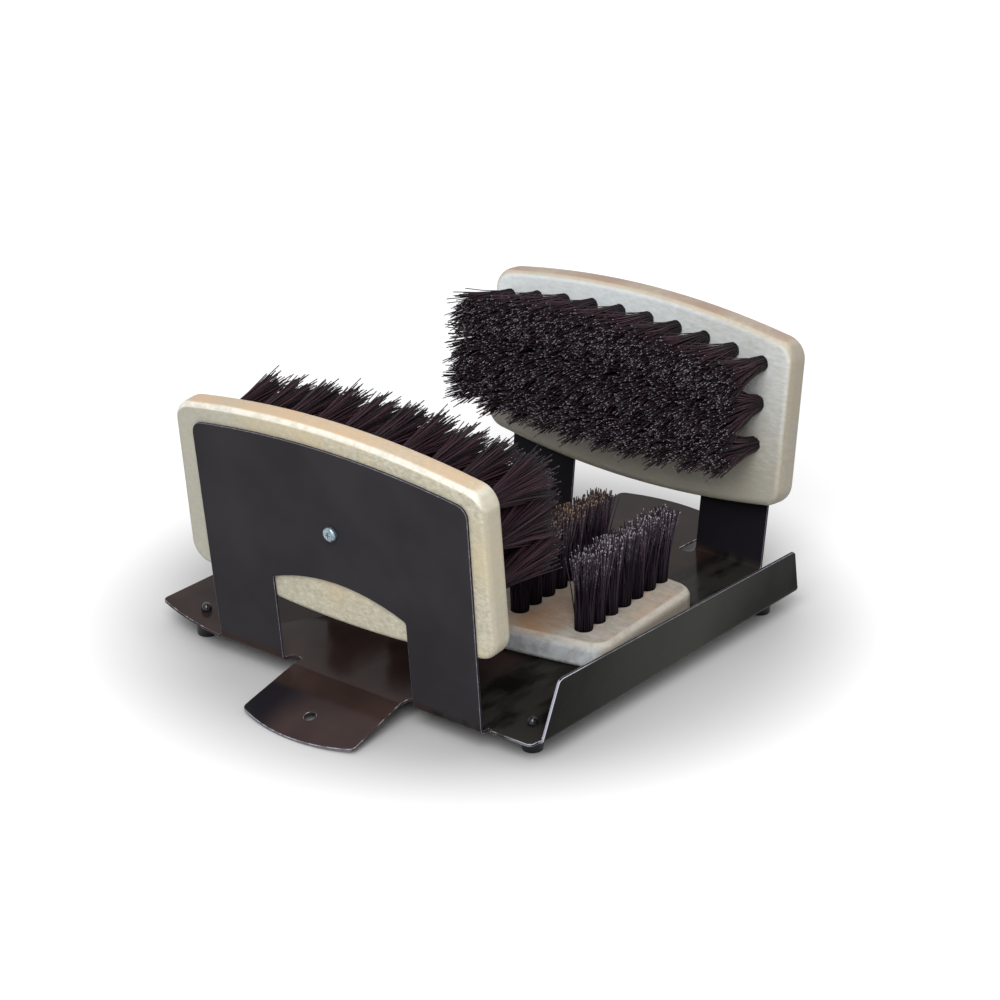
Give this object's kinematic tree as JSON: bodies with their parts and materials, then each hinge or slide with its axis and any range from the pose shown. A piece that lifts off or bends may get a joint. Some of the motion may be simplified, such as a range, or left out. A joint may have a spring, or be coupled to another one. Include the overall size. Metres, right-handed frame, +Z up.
{
  "type": "boot brush with scraper",
  "caption": "Boot brush: a formed steel base with two leaning uprights, facing side brushes, a brush on the base, a scraper lip along the front and screw-down tongues.",
  "frame": {"origin": "middle of the bounding box at the floor that the four feet stand on", "axes": "+Z up, +X from the upright with the drooping tongue to the other one, -Y towards the scraper lip"},
  "size_m": [0.3506, 0.2736, 0.1622],
  "materials": {
    "painted_steel": "glossy dark brown-black stove enamel",
    "side_brush_wood": "planed pale hardwood, unvarnished",
    "base_brush_wood": "planed pale hardwood, greyed",
    "bristle": "stiff dark filament",
    "zinc_screw": "bright zinc plate",
    "foot_rubber": "smooth black rubber"
  },
  "bodies": {
    "root": {"frame": "painted_steel", "left_brush_block": "side_brush_wood", "right_brush_block": "side_brush_wood", "base_brush_block": "base_brush_wood", "left_brush_bristles": "bristle", "right_brush_bristles": "bristle", "base_brush_bristles": "bristle", "left_brush_screw": "zinc_screw", "right_brush_screw": "zinc_screw", "base_brush_screw": "zinc_screw", "front_left_foot": "foot_rubber", "front_right_foot": "foot_rubber", "rear_left_foot": "foot_rubber", "rear_right_foot": "foot_rubber"}
  },
  "joints": []
}
